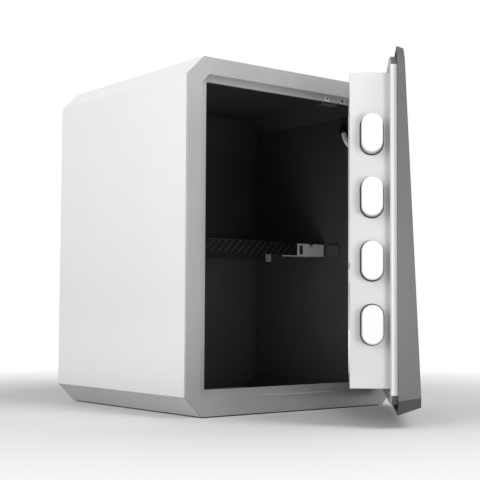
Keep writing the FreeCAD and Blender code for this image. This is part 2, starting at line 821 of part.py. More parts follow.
pitch_r = gear_module * gear_teeth / 2
tooth_pitch = math.pi * gear_module
pitch_y = bolt_y - bar_wide / 2 + rack_back + 1.25 * gear_module
gear_y = pitch_y + pitch_r
gear_x = bar_x1 + bolt_throw + gear_past_bar
rack_z0 = door_z - gear_wide / 2
slope = math.tan(math.radians(20))
rack_x1 = bar_x1 + rack_teeth * tooth_pitch + 2
rack_bed = pitch_y - 1.25 * gear_module
rack_tip = pitch_y + 0.7 * gear_module
rack_points = [(bar_x1, bolt_y - bar_wide / 2, rack_z0)]
first_gap = bar_x1 + (gear_x - bar_x1) % tooth_pitch
for i in range(rack_teeth):
    middle_x = first_gap + (i + 0.5) * tooth_pitch
    half = tooth_pitch / 4 - backlash / 2
    foot = half + (pitch_y - rack_bed) * slope
    tip = half - (rack_tip - pitch_y) * slope
    if middle_x - foot > bar_x1 and middle_x + foot < rack_x1:
        rack_points += [
            (middle_x - foot, rack_bed, rack_z0),
            (middle_x - tip, rack_tip, rack_z0),
            (middle_x + tip, rack_tip, rack_z0),
            (middle_x + foot, rack_bed, rack_z0),
        ]
rack_points = rack_points[:1] + [(bar_x1, rack_bed, rack_z0)] + rack_points[1:]
rack_points += [(rack_x1, rack_bed, rack_z0), (rack_x1, bolt_y - bar_wide / 2, rack_z0)]
save_door("bolt_rack", prism(rack_points, (0, 0, gear_wide)))


def involute_angle(r, base_r):
    if r <= base_r:
        return 0.0
    t = math.sqrt((r / base_r) ** 2 - 1)
    return t - math.atan(t)


def gear_outline():
    """A spur gear's outline about the origin, with a tooth pointing at -Y where the rack has a gap."""
    base_r = pitch_r * math.cos(math.radians(20))
    root_r = pitch_r - 1.25 * gear_module
    tip_r = pitch_r + 0.9 * gear_module
    half_tooth = (tooth_pitch / 2 - backlash) / 2 / pitch_r
    at_pitch = involute_angle(pitch_r, base_r)
    flank = [base_r + (tip_r - base_r) * i / 5 for i in range(6)]
    points = []
    for i in range(gear_teeth):
        centre = -math.pi / 2 + 2 * math.pi * i / gear_teeth
        right = [(r, centre - half_tooth - at_pitch + involute_angle(r, base_r)) for r in flank]
        left = [(r, 2 * centre - a) for r, a in reversed(right)]
        foot_a, foot_b = right[0][1], left[-1][1]
        for r, a in [(root_r, foot_a)] + right + left + [(root_r, foot_b)]:
            points.append((r * math.cos(a), r * math.sin(a)))
    return points


gear = prism([(gear_x + x, gear_y + y, rack_z0) for x, y in gear_outline()], (0, 0, gear_wide))
shaft_r = 3.0
gear_low = rack_z0 - shaft_foot
motor_case_z = gear_low - motor_length
shaft = rod(shaft_r, gear_wide + shaft_foot, (gear_x, gear_y, gear_low), (0, 0, 1))
save_door("motor_pinion", gear.fuse(shaft).removeSplitter())
motor = rod(motor_r, motor_length - 3, (gear_x, gear_y, motor_case_z), (0, 0, 1))
collar = rod(6.0, 2.5, (gear_x, gear_y, gear_low - 3), (0, 0, 1))
save_door("gear_motor", motor.fuse(collar))
bracket_z = gear_low - 3
bracket = box(gear_x - 17, gear_x + 17, plate_back, gear_y + 12, bracket_z, bracket_z + 2.5)
bracket = bracket.cut(rod(6.0, 2.5, (gear_x, gear_y, bracket_z), (0, 0, 1)))
foot = box(gear_x - 17, gear_x + 17, plate_back, plate_back + 2.5, bracket_z - 30, bracket_z)
save_door("motor_bracket", bracket.fuse(foot).removeSplitter())
save_door("bolts", *bolts)
save_door("bolt_bar", bar.cut(bolt_screws))
save_door("bolt_screws", *bolt_screws)
save_door("guide_rods", *rods)

# inner cover, battery tray and reset button
battery_x = box_right - battery_in
battery_z = door_z - battery_down
tray_wide = cell_count * 2 * cell_r + 2 * tray_wall + 3
tray_tall = cell_length + 2 * tray_wall + 4
tray_y0 = cover_y - tray_deep
tray = box(
    battery_x - tray_wide / 2,
    battery_x + tray_wide / 2,
    tray_y0,
    cover_y,
    battery_z - tray_tall / 2,
    battery_z + tray_tall / 2,
)
tray_room = box(
    battery_x - tray_wide / 2 + tray_wall,
    battery_x + tray_wide / 2 - tray_wall,
    tray_y0 + tray_wall,
    cover_out + 1,
    battery_z - tray_tall / 2 + tray_wall,
    battery_z + tray_tall / 2 - tray_wall,
)
save_door("battery_tray", tray.cut(tray_room))
cells = []
for i in range(cell_count):
    x = battery_x + (i - (cell_count - 1) / 2) * (2 * cell_r + 0.4)
    can = rod(cell_r, cell_length - 1.5, (x, tray_y0 + tray_wall + cell_r + 0.3, battery_z - cell_length / 2), (0, 0, 1))
    tip = rod(2.6, 1.5, (x, tray_y0 + tray_wall + cell_r + 0.3, battery_z + cell_length / 2 - 1.5), (0, 0, 1))
    cells.append(can.fuse(tip))
save_door("battery_cells", *cells)

lid_over = 4.0
battery_lid = rounded_plate(
    tray_wide + 2 * lid_over,
    tray_tall + 2 * lid_over,
    3.0,
    cover_out + 0.3,
    cover_out + 0.3 + battery_cover_thick,
    battery_x,
    battery_z,
)
save_door("battery_cover", battery_lid)

button_x = battery_x
button_z = battery_z + tray_tall / 2 + 26
button_low = cover_y - 6
button_hole = rod(button_r + button_gap, cover_thick + 2, (button_x, cover_y - 1, button_z), (0, 1, 0))
button = rod(button_r, cover_out + button_proud - button_low, (button_x, button_low, button_z), (0, 1, 0))
button = button.fuse(rod(button_r + 1.5, 1.0, (button_x, button_low, button_z), (0, 1, 0)))
save_door("reset_button", button)

cover = box(
    box_left + box_wall,
    box_right - box_wall,
    cover_y,
    cover_out,
    box_low + box_wall,
    box_high - box_wall,
)
screw_x = (box_left + 9, box_right - 9)
screw_z = (box_low + 9, door_z, box_high - 9)
cover_screws = []
for x in screw_x:
    for z in screw_z:
        cover_screws.append(flat_screw(1.4, x, cover_out, z, 1, cover_thick))
save_door("inner_cover", cover.cut([tray_room, button_hole] + cover_screws))
save_door("cover_screws", *cover_screws)

# conduit between the cabinet wall and the bolt box, along its hanging curve


def on_open_door(x, y, z):
    """Where a point of the shut door stands when the door is open."""
    a = math.radians(door_open)
    dx, dy = x - hinge_x, y - hinge_y
    return Vector(
        hinge_x + dx * math.cos(a) - dy * math.sin(a), hinge_y + dx * math.sin(a) + dy * math.cos(a), z
    )


def tube_along(points, r):
    """A round tube on straight runs joined by arcs, each as large as its two runs allow."""
    edges = []
    radii = []
    last = points[0]
    for i in range(1, len(points) - 1):
        a, b, c = points[i - 1], points[i], points[i + 1]
        into, out = (b - a), (c - b)
        short = min(into.Length, out.Length)
        into.normalize()
        out.normalize()
        turn = into.getAngle(out)
        trim_run = 0.45 * short
        radius = trim_run / math.tan(turn / 2)
        radii.append(round(radius, 1))
        start = b - into * trim_run
        end = b + out * trim_run
        to_centre = (out - into).normalize()
        centre = b + to_centre * (radius / math.cos(turn / 2))
        mid = centre - to_centre * radius
        edges.append(Part.LineSegment(last, start).toShape())
        edges.append(Part.Arc(start, mid, end).toShape())
        last = end
    edges.append(Part.LineSegment(last, points[-1]).toShape())
    path = Part.Wire(edges)
    along = points[1] - points[0]
    ring = Part.Wire(Part.makeCircle(r, points[0], along))
    tube = path.makePipeShell([ring], True, False)
    print("conduit", round(path.Length, 1), "radii", radii)
    print("tube", round(tube.Volume), "of", round(math.pi * r * r * path.Length))
    return tube


elbow = Vector(wall_x - elbow_in, front + elbow_back, base + height - elbow_drop)
nose_way = Vector(-0.36, -0.60, -0.71).normalize()
nose_end = elbow + nose_way * nose_long
nose_bore = elbow + nose_way * (nose_long - nose_grip)
ferrule_case = Part.makeSphere(ferrule_r, elbow).fuse(
    [Part.makeCylinder(ferrule_r, nose_long, elbow, nose_way), rod(ferrule_r + 2, elbow_in, (elbow.x, elbow.y, elbow.z), (1, 0, 0))]
)
wall_side = box(wall_x, wall_x + 20, elbow.y - 20, elbow.y + 20, elbow.z - 20, elbow.z + 20)
ferrule_case = ferrule_case.cut(wall_side)
ferrule_case = ferrule_case.cut(Part.makeCylinder(conduit_r, nose_grip + 2, nose_bore, nose_way))
save("conduit_ferrule", ferrule_case.removeSplitter())
door_end = on_open_door(box_right, gland_y, gland_z)
door_out = on_open_door(box_right + 20, gland_y, gland_z) - door_end
door_out.normalize()
wall_end = nose_bore
first = wall_end + nose_way * 22.0
last = door_end + door_out * 18.0
span = last - first
route = [wall_end, first, first + span * 0.32 + Vector(0, 0, -6.5), first + span * 0.66 + Vector(0, 0, -8.5), last, door_end]
print("route", [[round(v / 1000, 5) for v in p] for p in route])
save("door_conduit", tube_along(route, conduit_r - 0.02))
print("hinge", hinge_x, hinge_y, "door z", door_z, "tilt", panel_tilt)
print("gear", gear_x, gear_y, rack_z0, "pitch r", pitch_r, "key", key_x, key_z, "rivet z", rivet_z)
print("box", box_left, box_right, box_back, "opening", opening_left, opening_low, opening_high)
print("shelf", shelf_z0, shelf_z1, shelf_y0, shelf_y1, "liner end", liner_end, "wall", wall_x)
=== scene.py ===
import bmesh
import bpy
import json
import math
import numpy as np
from mathutils import Matrix, Vector


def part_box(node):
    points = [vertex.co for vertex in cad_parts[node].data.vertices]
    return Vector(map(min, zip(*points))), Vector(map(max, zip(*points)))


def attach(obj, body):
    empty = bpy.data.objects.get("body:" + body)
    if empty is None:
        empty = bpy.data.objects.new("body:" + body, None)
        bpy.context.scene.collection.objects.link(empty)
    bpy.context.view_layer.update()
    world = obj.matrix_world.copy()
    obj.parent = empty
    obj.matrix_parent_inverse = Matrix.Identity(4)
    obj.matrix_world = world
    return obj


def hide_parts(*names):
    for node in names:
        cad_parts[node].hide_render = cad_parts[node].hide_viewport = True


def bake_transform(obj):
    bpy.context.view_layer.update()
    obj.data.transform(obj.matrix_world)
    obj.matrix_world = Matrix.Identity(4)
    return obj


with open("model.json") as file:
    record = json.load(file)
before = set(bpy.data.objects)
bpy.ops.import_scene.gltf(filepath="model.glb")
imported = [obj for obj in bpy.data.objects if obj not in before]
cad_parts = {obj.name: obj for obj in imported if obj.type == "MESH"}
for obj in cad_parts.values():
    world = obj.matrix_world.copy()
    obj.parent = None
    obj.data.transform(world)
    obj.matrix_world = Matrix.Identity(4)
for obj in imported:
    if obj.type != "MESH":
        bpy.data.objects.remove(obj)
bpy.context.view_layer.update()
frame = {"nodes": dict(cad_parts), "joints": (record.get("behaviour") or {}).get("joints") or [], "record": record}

nodes = frame["nodes"]
slotOf = {row["node"]: row["material_slot"] for row in frame["record"]["subparts"]}
hinge = next(j for j in frame["joints"] if j["name"] == "door_hinge")
openAngle = math.radians(-hinge["range_deg"][0])
print("frame:", len(nodes), "parts, door open", round(math.degrees(openAngle), 1))


class Term:
    # one shader socket, so that sums on it read like plain arithmetic
    def __init__(self, tree, socket):
        self.tree = tree
        self.socket = socket

    def sum(self, operation, *parts):
        made = self.tree.nodes.new("ShaderNodeMath")
        made.operation = operation
        for slot, part in zip(made.inputs, parts):
            if isinstance(part, Term):
                self.tree.links.new(part.socket, slot)
            else:
                slot.default_value = part
        return Term(self.tree, made.outputs[0])

    def __add__(self, other):
        return self.sum("ADD", self, other)

    def __radd__(self, other):
        return self.sum("ADD", other, self)

    def __sub__(self, other):
        return self.sum("SUBTRACT", self, other)

    def __rsub__(self, other):
        return self.sum("SUBTRACT", other, self)

    def __mul__(self, other):
        return self.sum("MULTIPLY", self, other)

    def __rmul__(self, other):
        return self.sum("MULTIPLY", other, self)

    def __truediv__(self, other):
        return self.sum("DIVIDE", self, other)

    def __pow__(self, other):
        return self.sum("POWER", self, other)

    def __gt__(self, other):
        return self.sum("GREATER_THAN", self, other)

    def __lt__(self, other):
        return self.sum("LESS_THAN", self, other)

    def sine(self):
        return self.sum("SINE", self)

    # a sine wave that runs from 0 to 1
    def wave(self):
        return self.sine() * 0.5 + 0.5

    def kept(self):
        return self.sum("MINIMUM", self.sum("MAXIMUM", self, 0.0), 1.0)


class Shading:
    # a node tree and the one way to add any other node, for the finishes and for the sky
    def __init__(self, tree):
        self.tree = tree

    def node(self, kind, settings=None, sockets=None, out=0):
        made = self.tree.nodes.new("ShaderNode" + kind)
        for name, value in (settings or {}).items():
            setattr(made, name, value)
        for name, value in (sockets or {}).items():
            if isinstance(value, Term):
                self.tree.links.new(value.socket, made.inputs[name])
            else:
                made.inputs[name].default_value = value
        return Term(self.tree, made.outputs[out])


class Finish(Shading):
    # one material: fixed values go on the shader, what varies is fed in
    def __init__(self, name, fixed):
        self.made = bpy.data.materials.new(name)
        self.made.use_nodes = True
        super().__init__(self.made.node_tree)
        self.shader = self.tree.nodes["Principled BSDF"]
        for socket, value in fixed.items():
            self.shader.inputs[socket].default_value = value

    def place(self, stretch=(1, 1, 1), turn=(0, 0, 0)):
        spot = self.node("TexCoord", out=3)
        if stretch == (1, 1, 1) and turn == (0, 0, 0):
            return spot
        return self.node("Mapping", {}, {"Vector": spot, "Scale": stretch, "Rotation": turn})

    def axes(self):
        split = self.node("SeparateXYZ", {}, {"Vector": self.place()})
        return [Term(self.tree, split.socket.node.outputs[i]) for i in range(3)]

    def noise(self, scale, detail=3.0, rough=0.5, spot=None):
        sockets = {"Vector": spot or self.place(), "Scale": scale, "Detail": detail, "Roughness": rough}
        return self.node("TexNoise", {}, sockets)

    def cells(self, scale, feature="F1", out=0):
        return self.node("TexVoronoi", {"feature": feature}, {"Vector": self.place(), "Scale": scale}, out)

    def blendOf(self, amount, first, second):
        return self.node("Mix", {"data_type": "RGBA"}, {0: amount, 6: first, 7: second}, 2)

    def feed(self, socket, term):
        self.tree.links.new(term.socket, self.shader.inputs[socket])

    def tones(self, amount, values):
        self.feed("Base Color", self.blendOf(amount.kept(), values["dark"], values["light"]))

    def roughen(self, amount, values):
        low, high = values["rough"]
        self.feed("Roughness", (low + (high - low) * amount).kept())

    def relief(self, height, strength, depth, edge=0.0):
        sockets = {"Height": height, "Strength": strength, "Distance": depth}
        if edge:
            sockets["Normal"] = self.node("Bevel", {"samples": 4}, {"Radius": edge})
        self.feed("Normal", self.node("Bump", {}, sockets))


def grey(level):
    return (level, level, level, 1.0)


# painted metal and moulded plastic: two tones in soft patches, a fine skin and a softened edge
paintSkin = {"patchScale": 16, "dustShare": 0.17, "coatRough": 0.12, "edge": 0.0006}


def coated(name, values):
    fixed = {"Coat Weight": values.get("coat", 0.0), "Coat Roughness": paintSkin["coatRough"]}
    finish = Finish(name, fixed)
    patches = finish.noise(paintSkin["patchScale"], 4.0, 0.6)
    skin = finish.noise(values["grain"], 2.0, 0.55)
    dust = finish.noise(values["grain"] * paintSkin["dustShare"], 3.0, 0.65)
    finish.tones(patches * 0.7 + skin * 0.3, values)
    finish.roughen(dust * 0.6 + patches * 0.4, values)
    finish.relief(skin + dust * 0.5, values["skin"], values["deep"], values.get("edge", paintSkin["edge"]))
    return finish


paints = {
    "white_enamel": {
        "dark": grey(0.83), "light": grey(0.88), "rough": (0.14, 0.30), "coat": 0.5,
        "grain": 620, "skin": 0.16, "deep": 0.00006, "edge": 0.0012,
    },
    "black_lining": {
        "dark": grey(0.022), "light": grey(0.040), "rough": (0.28, 0.42),
        "grain": 1500, "skin": 0.30, "deep": 0.00008, "edge": 0.0022,
    },
    "black_shelf": {
        "dark": grey(0.014), "light": grey(0.028), "rough": (0.26, 0.42),
        "grain": 1500, "skin": 0.28, "deep": 0.00007, "edge": 0.0009,
    },
    "light_plastic": {
        "dark": grey(0.23), "light": grey(0.29), "rough": (0.32, 0.46),
        "grain": 2100, "skin": 0.22, "deep": 0.00005,
    },
    "light_box": {
        "dark": grey(0.54), "light": grey(0.60), "rough": (0.26, 0.40), "coat": 0.25,
        "grain": 900, "skin": 0.18, "deep": 0.00006, "edge": 0.0014,
    },
    "satin_bolt": {
        "dark": grey(0.67), "light": grey(0.71), "rough": (0.18, 0.26), "coat": 0.3,
        "grain": 700, "skin": 0.06, "deep": 0.00003, "edge": 0.0012,
    },
    "cover_plastic": {
        "dark": grey(0.34), "light": grey(0.40), "rough": (0.38, 0.54),
        "grain": 1400, "skin": 0.45, "deep": 0.0001,
    },
    "dark_plate": {
        "dark": grey(0.18), "light": grey(0.22), "rough": (0.30, 0.44),
        "grain": 1100, "skin": 0.25, "deep": 0.00006,
    },
    "grey_panel": {
        "dark": grey(0.084), "light": grey(0.105), "rough": (0.30, 0.42), "coat": 0.15,
        "grain": 1300, "skin": 0.24, "deep": 0.00006, "edge": 0.001,
    },
    "black_plastic": {
        "dark": grey(0.012), "light": grey(0.024), "rough": (0.40, 0.58),
        "grain": 1700, "skin": 0.5, "deep": 0.0001,
    },
    "red_plastic": {
        "dark": (0.20, 0.008, 0.007, 1), "light": (0.30, 0.016, 0.012, 1), "rough": (0.24, 0.36),
        "grain": 1900, "skin": 0.2, "deep": 0.00004,
    },
    # the strip on the door plate's edge is the same paint as the box, made a shade lighter: painted light for the
    # extra light that edge catches
    "edgeStripPaintedLight": {
        "dark": grey(0.74), "light": grey(0.80), "rough": (0.26, 0.38), "coat": 0.25,
        "grain": 900, "skin": 0.15, "deep": 0.00005,
    },
}
finishes = {name: coated(name, values) for name, values in paints.items()}


# silver paint holds flakes that each catch the light a little differently
silver = {"dark": grey(0.50), "light": grey(0.62), "flake": 3600, "metal": 0.7, "rough": 0.26, "edge": 0.0008}


def flaked(name, values):
    finish = Finish(name, {"Coat Weight": 0.3, "Coat Roughness": 0.2, "Metallic": values["metal"]})
    flake = finish.cells(values["flake"], out=1)
    tone = finish.node("SeparateColor", {}, {"Color": flake})
    patches = finish.noise(9, 3.0)
    finish.tones(tone * 0.55 + patches * 0.45, values)
    finish.feed("Roughness", (values["rough"] + tone * 0.16 + patches * 0.08).kept())
    finish.relief(tone + finish.noise(700) * 0.6, 0.12, 0.00005, values["edge"])
    return finish


finishes["silver_frame"] = flaked("silver_frame", silver)


# bare or plated metal with drawn lines along one axis, and small scuffs
metalSkin = {"scuffs": 340, "blotches": 60, "deep": 0.00004, "edge": 0.0005}


def drawnMetal(name, values):
    finish = Finish(name, {"Metallic": values.get("metal", 1.0), "IOR": 2.2})
    lines = finish.noise(values["lines"], 4.0, 0.6, finish.place(values["along"]))
    blotch = finish.noise(values.get("blotch", metalSkin["blotches"]), 3.0, 0.55)
    scuff = finish.noise(metalSkin["scuffs"], 2.0, 0.7, finish.place((1, 0.12, 1), (0.3, 0.5, 0.8)))
    finish.tones(lines * 0.45 + blotch * 0.55, values)
    finish.roughen(lines * 0.5 + scuff * 0.5, values)
    finish.relief(lines + scuff * 0.4, values["skin"], metalSkin["deep"], metalSkin["edge"])
    return finish


metals = {
    "zinc_steel": {
        "dark": (0.44, 0.45, 0.46, 1), "light": (0.60, 0.61, 0.60, 1), "rough": (0.26, 0.46),
        "lines": 500, "along": (0.06, 1, 1), "skin": 0.3, "blotch": 130,
    },
    "bright_steel": {
        "dark": grey(0.62), "light": grey(0.78), "rough": (0.12, 0.26),
        "lines": 900, "along": (1, 1, 0.1), "skin": 0.16,
    },
    "brass": {
        "dark": (0.52, 0.36, 0.13, 1), "light": (0.70, 0.52, 0.22, 1), "rough": (0.18, 0.34),
        "lines": 1100, "along": (1, 1, 0.2), "skin": 0.2,
    },
    # the conduit is painted near white and hardly metal: painted highlights standing in for the bright glints on
    # its steel coils, which sit in shade
    "steel_conduit": {
        "dark": grey(0.84), "light": grey(0.95), "rough": (0.22, 0.38),
        "lines": 700, "along": (1, 1, 0.3), "skin": 0.2, "metal": 0.1,
    },
    "silver_ring": {
        "dark": grey(0.60), "light": grey(0.74), "rough": (0.18, 0.30),
        "lines": 1400, "along": (1, 1, 1), "skin": 0.25,
    },
}
for name, values in metals.items():
    finishes[name] = drawnMetal(name, values)


# fascia strip: a twill of diagonal bands, each band ribbed across its own line
fascia = {
    "pitch": 0.0118,
    "ribs": 4,
    "dark": grey(0.001),
    "light": grey(0.010),
    "deep": 0.0003,
    "edge": 0.0005,
}


def twill(name, values):
    finish = Finish(name, {"Coat Weight": 0.08, "Coat Roughness": 0.2, "IOR": 1.22})
    x, y, z = finish.axes()
    turn = 2 * math.pi / values["pitch"]
    band = (((x - z) * turn).sine() * 2.4 + 0.6).kept()
    rib = ((x + z) * turn * values["ribs"]).wave()
    smear = finish.noise(45, 4.0)
    tone = (band ** 2.0) * 0.75 + band * rib * 0.25
    finish.tones(tone * 0.8 + smear * 0.2, values)
    finish.feed("Roughness", (0.46 - band * 0.22 + smear * 0.1).kept())
    finish.relief(band + rib * 0.3, 0.5, values["deep"], values["edge"])
    return finish


finishes["carbon_strip"] = twill("carbon_strip", fascia)


# felt: crossed short fibres over a dark ground
felt = {"fibres": 900, "dark": grey(0.030), "light": grey(0.10), "deep": 0.0005}


def felted(name, values):
    finish = Finish(name, {"Sheen Weight": 0.3, "Sheen Roughness": 0.5})
    one = finish.noise(values["fibres"], 3.0, 0.7, finish.place((1, 0.12, 1), (0, 0, 0.5)))
    two = finish.noise(values["fibres"], 3.0, 0.7, finish.place((0.12, 1, 1), (0, 0, 0.9)))
    pile = (one + two) * 0.5
    wear = finish.noise(22, 4.0, 0.6)
    finish.tones(pile * 1.4 - 0.3 + wear * 0.3, values)
    finish.feed("Roughness", (0.80 + pile * 0.2).kept())
    finish.relief(pile, 0.9, values["deep"])
    return finish


finishes["grey_felt"] = felted("grey_felt", felt)


# rubber: matt, with faint mould lines
rubber = {"dark": grey(0.010), "light": grey(0.022), "groove": 0.004, "deep": 0.00015, "edge": 0.0004}


def rubbery(name, values):
    finish = Finish(name, {"IOR": 1.45})
    grain = finish.noise(1300, 2.0, 0.6)
    bloom = finish.noise(30, 4.0, 0.6)
    x, y, z = finish.axes()
    groove = ((x + y) * (2 * math.pi / values["groove"])).wave()
    finish.tones(bloom * 0.6 + grain * 0.4, values)
    finish.feed("Roughness", (0.55 + bloom * 0.25).kept())
    finish.relief(grain * 0.5 + groove * 0.6, 0.45, values["deep"], values["edge"])
    return finish


finishes["black_rubber"] = rubbery("black_rubber", rubber)


# dark glass: polished, with faint wipe marks that show only in the gloss
glass = {"dark": grey(0.006), "light": grey(0.012), "deep": 0.0001, "edge": 0.0005}


def polished(name, values):
    finish = Finish(name, {"Coat Weight": 1.0, "Coat Roughness": 0.03, "IOR": 1.52})
    wipe = finish.noise(18, 5.0, 0.65, finish.place((1, 1, 0.35), (0, 0.5, 0)))
    speck = finish.noise(1600, 2.0)
    finish.tones(wipe * 0.7 + speck * 0.3, values)
    finish.feed("Roughness", (0.04 + wipe * 0.12).kept())
    finish.relief(wipe, 0.03, values["deep"], values["edge"])
    return finish


finishes["dark_glass"] = polished("dark_glass", glass)


# lamp lens: frosted, ribbed along its length to spread the light
lens = {"rib": 0.0024, "dark": grey(0.045), "light": grey(0.11), "deep": 0.0002, "edge": 0.0006}


def frosted(name, values):
    finish = Finish(name, {"Transmission Weight": 0.35, "IOR": 1.49})
    x, y, z = finish.axes()
    rib = (x * (2 * math.pi / values["rib"])).wave()
    frost = finish.noise(2000, 2.0)
    finish.tones(rib * 0.5 + frost * 0.5, values)
    finish.feed("Roughness", (0.34 + frost * 0.25).kept())
    finish.relief(rib + frost * 0.3, 0.5, values["deep"], values["edge"])
    return finish


finishes["lamp_glass"] = frosted("lamp_glass", lens)


# circuit board: solder mask over a maze of copper runs
board = {
    "dark": (0.006, 0.075, 0.03, 1),
    "light": (0.03, 0.20, 0.09, 1),
    "maze": 420,
    "run": 0.05,
    "deep": 0.00006,
}


def boarded(name, values):
    finish = Finish(name, {"Coat Weight": 0.6, "Coat Roughness": 0.15})
    run = finish.cells(values["maze"], feature="DISTANCE_TO_EDGE") < values["run"]
    mask = finish.noise(200, 3.0)
    finish.tones(run * 0.7 + mask * 0.3, values)
    finish.feed("Roughness", (0.24 + mask * 0.2).kept())
    finish.relief(run, 0.4, values["deep"])
    return finish


finishes["green_board"] = boarded("green_board", board)


# cell sleeve: dark film with a copper coloured band at one end
cellFilm = {
    "dark": (0.012, 0.014, 0.02, 1),
    "light": (0.03, 0.034, 0.045, 1),
    "tip": (0.62, 0.36, 0.14, 1),
    "band": 0.72,
    "deep": 0.0001,
}


def sleeved(name, values):
    finish = Finish(name, {"Coat Weight": 0.7, "Coat Roughness": 0.08})
    x, y, z = finish.axes()
    low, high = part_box("battery_cells")
    reach = (z - low.z) / (high.z - low.z)
    band = reach > values["band"]
    scuff = finish.noise(240, 3.0, 0.6)
    film = finish.blendOf(scuff, values["dark"], values["light"])
    finish.feed("Base Color", finish.blendOf(band, film, values["tip"]))
    finish.feed("Metallic", band * 0.8)
    finish.feed("Roughness", (0.2 + scuff * 0.2).kept())
    finish.relief(scuff + band, 0.1, values["deep"])
    return finish


finishes["cell_wrap"] = sleeved("cell_wrap", cellFilm)


# small round fittings on the ledge: a polished ring round a dark middle, where the dark middle is painted shade
# standing in for the shaded hollow at each fitting's centre
fittings = {
    "ledge_screw": {
        "inner": 0.42, "crisp": 9, "dark": grey(0.80), "light": grey(0.95), "middle": grey(0.02),
    },
    "ledge_rivet": {
        "inner": 0.30, "crisp": 6, "dark": grey(0.45), "light": grey(0.60), "middle": grey(0.20),
    },
    "door_sensor": {
        "inner": 0.62, "crisp": 8, "dark": grey(0.75), "light": grey(0.92), "middle": grey(0.008),
    },
}
fittingSkin = {"deep": 0.0004, "edge": 0.0004}


def ringed(name, node, values):
    finish = Finish(name, {"Coat Weight": 0.4, "Coat Roughness": 0.1})
    x, y, z = finish.axes()
    low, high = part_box(node)
    centre = (low + high) / 2
    across, up = x - centre.x, z - centre.z
    away = (across * across + up * up) ** 0.5
    ring = ((away / ((high.z - low.z) / 2) - values["inner"]) * values["crisp"]).kept()
    brushed = finish.noise(900)
    metal = finish.blendOf(brushed, values["dark"], values["light"])
    # the dark middle colour is painted shade for the hollow centre, not a dark material
    finish.feed("Base Color", finish.blendOf(ring, values["middle"], metal))
    finish.feed("Metallic", ring * 0.5)
    finish.feed("Roughness", (0.2 + brushed * 0.15).kept())
    finish.relief(ring + brushed * 0.1, 0.4, fittingSkin["deep"], fittingSkin["edge"])
    return finish


# nodes whose finish isn't the one of their slot
# the door edge trim takes the lighter copy of the box paint, which paints in the light on that edge
ownFinish = {"door_edge_trim": "edgeStripPaintedLight"}
for node, values in fittings.items():
    finishes[node + "Round"] = ringed(node + "Round", node, values)
    ownFinish[node] = node + "Round"
for name, node in nodes.items():
    node.data.materials.clear()
    node.data.materials.append(finishes[ownFinish.get(name, slotOf[name])].made)
print("finishes:", len(finishes))

# which way the open door's right side and back face
doorRight = Vector((math.cos(openAngle), math.sin(openAngle), 0))
doorBack = Vector((-math.sin(openAngle), math.cos(openAngle), 0))


def addPiece(name, mesh, slot):
    piece = bpy.data.objects.new(name, mesh)
    bpy.context.scene.collection.objects.link(piece)
    mesh.materials.clear()
    mesh.materials.append(finishes[slot].made)
    return piece


# the folded bolt box gets real rounded edges along its rim and its four corners
foldedBox = {
    "node": "door_box",
    "round": 0.0018,
    "steps": 3,
    "slack": 0.0002,
    "weld": 0.00002,
    "flatDegrees": 1.0,
}


def rollEdges(values):
    shape = bmesh.new()
    shape.from_mesh(nodes[values["node"]].data)
    bmesh.ops.remove_doubles(shape, verts=shape.verts, dist=values["weld"])
    flat = math.radians(values["flatDegrees"])
    bmesh.ops.dissolve_limit(shape, angle_limit=flat, verts=shape.verts, edges=shape.edges)
    slack = values["slack"]

    def inBox(vert):
        return (vert.co.dot(doorRight), vert.co.dot(doorBack), vert.co.z)

    rimAt = max(inBox(v)[1] for v in shape.verts)
    rim = [inBox(v) for v in shape.verts if inBox(v)[1] > rimAt - slack]
    sides = [(min(place[i] for place in rim), max(place[i] for place in rim)) for i in (0, 2)]

    def onOutside(place):
        spots = zip((place[0], place[2]), sides)
        return [min(abs(spot - low), abs(spot - high)) < slack for spot, (low, high) in spots]

    weight = shape.edges.layers.float.new("bevel_weight_edge")
    for edge in shape.edges:
        first, last = (inBox(v) for v in edge.verts)
        isRim = first[1] > rimAt - slack and last[1] > rimAt - slack
        isCorner = all(onOutside(first) + onOutside(last))
        isOuter = any(a and b for a, b in zip(onOutside(first), onOutside(last)))
        if isCorner or (isRim and isOuter):
            edge[weight] = 1.0
    mesh = bpy.data.meshes.new("boltBoxRolled")
    shape.to_mesh(mesh)
    shape.free()
    piece = addPiece("boltBoxRolled", mesh, slotOf[values["node"]])
    bevel = piece.modifiers.new("roll", "BEVEL")
    bevel.width = values["round"]
    bevel.segments = values["steps"]
    bevel.limit_method = "WEIGHT"
    bevel.harden_normals = True
    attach(piece, "door")
    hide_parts(values["node"])


rollEdges(foldedBox)
print("box rolled")

# wound steel conduit from the wall elbow to the bolt box
conduit = {
    "route": [
        (0.16933, -0.06661, 0.40123),
        (0.16139, -0.07985, 0.38556),
        (0.15198, -0.09998, 0.37472),
        (0.14199, -0.12135, 0.36811),
        (0.13199, -0.14273, 0.372),
        (0.11986, -0.15603, 0.372),
    ],
    "outer": 0.0039,
    "groove": 0.0013,
    "pitch": 0.0036,
    "around": 28,
    "perTurn": 10,
    "swell": 0.6,
    "smoothness": 24,
}


# the smooth line through the route, as mesh points
def threadLine(points, smoothness):
    curve = bpy.data.curves.new("conduitLine", "CURVE")
    curve.dimensions = "3D"
    curve.resolution_u = smoothness
    line = curve.splines.new("NURBS")
    line.points.add(len(points) - 1)
    for spot, place in zip(line.points, points):
        spot.co = (*place, 1)
    line.order_u = 3
    line.use_endpoint_u = True
    holder = bpy.data.objects.new("conduitLine", curve)
    bpy.context.scene.collection.objects.link(holder)
    read = bpy.data.meshes.new_from_object(holder)
    places = np.array([v.co for v in read.vertices])
    bpy.data.objects.remove(holder)
    bpy.data.meshes.remove(read)
    return places


# the same line cut into equal steps, and its length
def evenly(places, count):
    steps = np.linalg.norm(np.diff(places, axis=0), axis=1)
    along = np.concatenate([[0], np.cumsum(steps)])
    marks = np.linspace(0, along[-1], count)
    return np.stack([np.interp(marks, along, places[:, i]) for i in range(3)], 1), along[-1]


